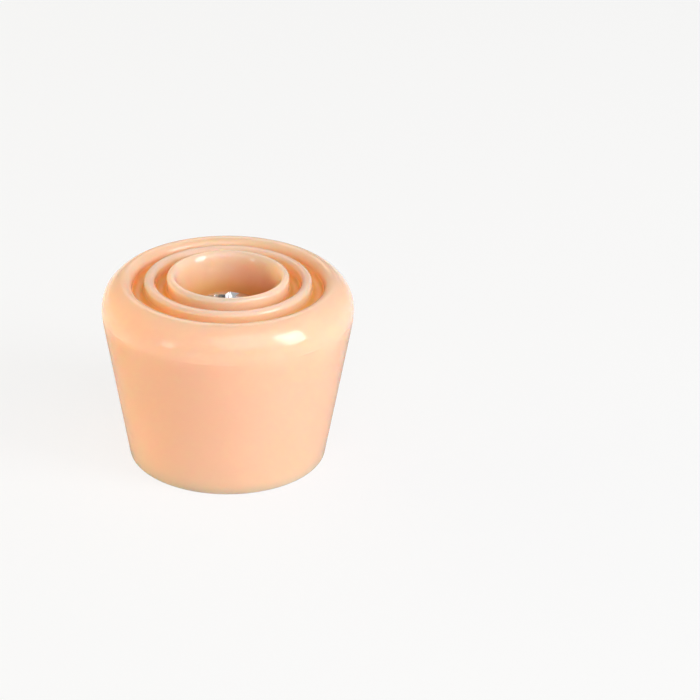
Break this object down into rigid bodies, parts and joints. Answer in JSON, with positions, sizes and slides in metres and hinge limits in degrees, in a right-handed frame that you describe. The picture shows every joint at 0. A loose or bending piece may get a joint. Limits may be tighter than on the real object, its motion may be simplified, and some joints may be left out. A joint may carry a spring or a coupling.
{
  "type": "roller skate toe stop",
  "caption": "Bolt-on roller skate toe stop: a tapered cast polyurethane block with a rounded shoulder and ring grooves round a deep bore that holds a washer and a pan-head bolt.",
  "frame": {"origin": "centre of the narrow mounting base, on the face that lies against the skate's plate", "axes": "+Z along the axis of the stop and its bolt, from the mounting base to the wide ringed brake face; X and Y across it"},
  "size_m": [0.05, 0.05, 0.0385],
  "materials": {
    "polyurethane": "glossy translucent cast polyurethane",
    "washer_steel": "plain rolled steel",
    "zinc_plate": "bright zinc plate"
  },
  "bodies": {
    "stop": {"stop_body": "polyurethane"},
    "washer": {"seat_washer": "washer_steel"},
    "bolt": {"mounting_bolt": "zinc_plate"}
  },
  "joints": [
    {"name": "bolt_turn", "type": "hinge", "parent": "stop", "child": "washer", "pos_m": [0, 0, 0.015], "axis": [0, 0, 1], "continuous": true},
    {"name": "bolt_slide", "type": "slide", "parent": "washer", "child": "bolt", "axis": [0, 0, 1], "range_m": [-0.01165, 0.0117]}
  ]
}
